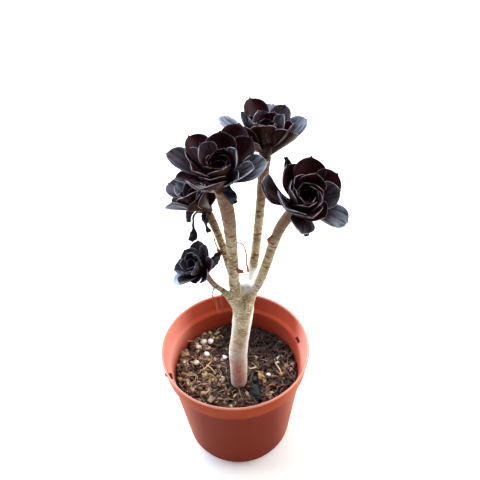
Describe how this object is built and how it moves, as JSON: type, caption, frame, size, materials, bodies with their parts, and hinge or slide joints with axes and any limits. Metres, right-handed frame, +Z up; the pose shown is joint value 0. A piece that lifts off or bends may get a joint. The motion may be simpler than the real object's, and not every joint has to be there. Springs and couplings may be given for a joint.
{
  "type": "potted aeonium",
  "caption": "Dark burgundy tree aeonium: a short forked stem carrying rosettes of spoon-shaped leaves, standing in potting mix in a tapered plastic nursery pot.",
  "frame": {"origin": "centre of the pot's flat underside, on the surface it stands on", "axes": "+Z up, -Y towards the viewer of the picture, +X to the viewer's right"},
  "size_m": [0.1365, 0.121, 0.3194],
  "materials": {
    "pot_plastic": "terracotta-coloured injection-moulded polypropylene, half matte",
    "potting_mix": "loose damp mix of coir, bark and peat",
    "stem_bark": "dull beige bark with brown leaf scars",
    "leaf_burgundy": "waxy, glossy near-black burgundy succulent leaf with a pale rim",
    "perlite": "white expanded mineral grain, matte",
    "dry_bark": "dry pale bark chip",
    "dead_leaf": "shrivelled black fallen leaf"
  },
  "bodies": {
    "root": {"pot": "pot_plastic", "soil": "potting_mix", "perlite_01": "perlite", "perlite_02": "perlite", "perlite_03": "perlite", "perlite_04": "perlite", "perlite_05": "perlite", "perlite_06": "perlite", "perlite_07": "perlite", "perlite_08": "perlite", "perlite_09": "perlite", "pale_chip_01": "dry_bark", "pale_chip_02": "dry_bark", "pale_chip_03": "dry_bark", "pale_chip_04": "dry_bark", "fallen_leaf": "dead_leaf", "stem": "stem_bark", "rosette_front": "leaf_burgundy", "rosette_top": "leaf_burgundy", "rosette_right": "leaf_burgundy", "rosette_left": "leaf_burgundy", "rosette_low": "leaf_burgundy"}
  },
  "joints": []
}
